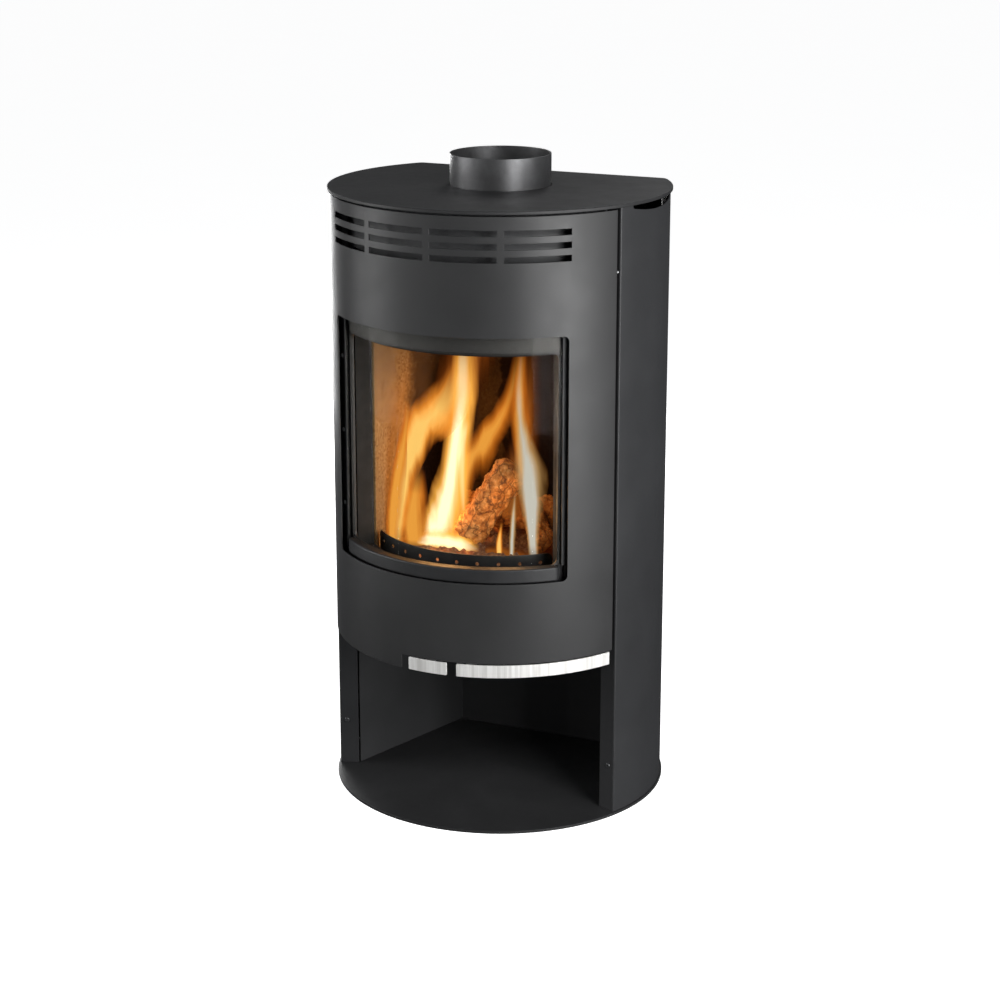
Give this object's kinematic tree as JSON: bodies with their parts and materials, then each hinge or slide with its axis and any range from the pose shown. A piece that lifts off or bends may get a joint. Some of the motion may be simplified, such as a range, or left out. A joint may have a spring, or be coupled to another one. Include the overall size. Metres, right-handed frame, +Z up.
{
  "type": "wood burning stove",
  "caption": "Round-fronted steel wood stove with curved glass door, open wood store, steel handle strip, air lever and top flue spigot.",
  "frame": {"origin": "centre of the casing circle on the floor, on the underside of the base plate", "axes": "+Z up, the door and window face -Y, +X is on the right hand of a person facing the door"},
  "size_m": [0.509, 0.4073, 0.968],
  "materials": {
    "stove_paint": "matte",
    "body_paint": "matte",
    "flue_steel": "satin",
    "stainless": "satin",
    "cast_iron": "matte",
    "glass": "polished",
    "rope": "matte",
    "vermiculite": "matte",
    "zinc": "satin"
  },
  "bodies": {
    "root": {"base_plate": "stove_paint", "top_plate": "stove_paint", "rear_panel": "stove_paint", "wood_store_liner": "stove_paint", "side_panel_left": "stove_paint", "side_panel_right": "stove_paint", "carrier_plate": "body_paint", "body_front": "body_paint", "firebox_rear_wall": "body_paint", "firebox_floor": "body_paint", "firebox_roof": "body_paint", "catch_bracket": "body_paint", "firebox_wall_left": "body_paint", "firebox_wall_right": "body_paint", "hinge_bracket_bottom": "body_paint", "hinge_bracket_top": "body_paint", "flue_collar": "flue_steel", "grate": "cast_iron", "log_guard": "cast_iron", "rear_brick": "vermiculite", "floor_brick": "vermiculite", "baffle_plate": "vermiculite", "side_brick_left": "vermiculite", "side_brick_right": "vermiculite", "rear_heat_shield": "zinc", "latch_roller": "zinc", "catch_ball": "zinc", "hinge_pin_bottom": "zinc", "hinge_pin_top": "zinc", "air_guide_pin_left": "zinc", "air_guide_pin_right": "zinc", "flange_screw_left": "zinc", "flange_screw_right": "zinc", "rear_screw_left_1": "zinc", "rear_screw_left_2": "zinc", "rear_screw_left_3": "zinc", "rear_screw_right_1": "zinc", "rear_screw_right_2": "zinc", "rear_screw_right_3": "zinc"},
    "door": {"door_skin": "stove_paint", "door_frame": "cast_iron", "door_glass": "glass", "glass_tape": "rope", "door_seal": "rope", "hinge_lug_bottom": "body_paint", "hinge_lug_top": "body_paint", "handle_pivot_pin": "zinc", "glass_clamp_left": "cast_iron", "glass_clamp_right": "cast_iron", "clamp_screw_left_1": "zinc", "clamp_screw_left_2": "zinc", "clamp_screw_left_3": "zinc", "clamp_screw_right_1": "zinc", "clamp_screw_right_2": "zinc", "clamp_screw_right_3": "zinc"},
    "handle": {"door_handle": "stainless", "latch_hook": "zinc"},
    "air_control": {"air_lever": "stainless", "air_damper": "zinc"},
    "ash_pan": {"ash_pan": "zinc"}
  },
  "joints": [
    {"name": "door_hinge", "type": "hinge", "parent": "root", "child": "door", "pos_m": [-0.21554, -0.1122, 0.59], "axis": [0, 0, -1], "range_deg": [0, 100]},
    {"name": "handle_turn", "type": "hinge", "parent": "door", "child": "handle", "pos_m": [0.05758, -0.23093, 0.256], "axis": [0, 0, -1], "range_deg": [0, 6], "stiffness_Nm_per_rad": 2},
    {"name": "air_slide", "type": "hinge", "parent": "root", "child": "air_control", "pos_m": [0, 0, 0.26], "axis": [0, 0, 1], "range_deg": [-2.4, 2.6]},
    {"name": "ash_pan_slide", "type": "slide", "parent": "root", "child": "ash_pan", "axis": [0, -1, 0], "range_m": [0, 0.03]}
  ]
}
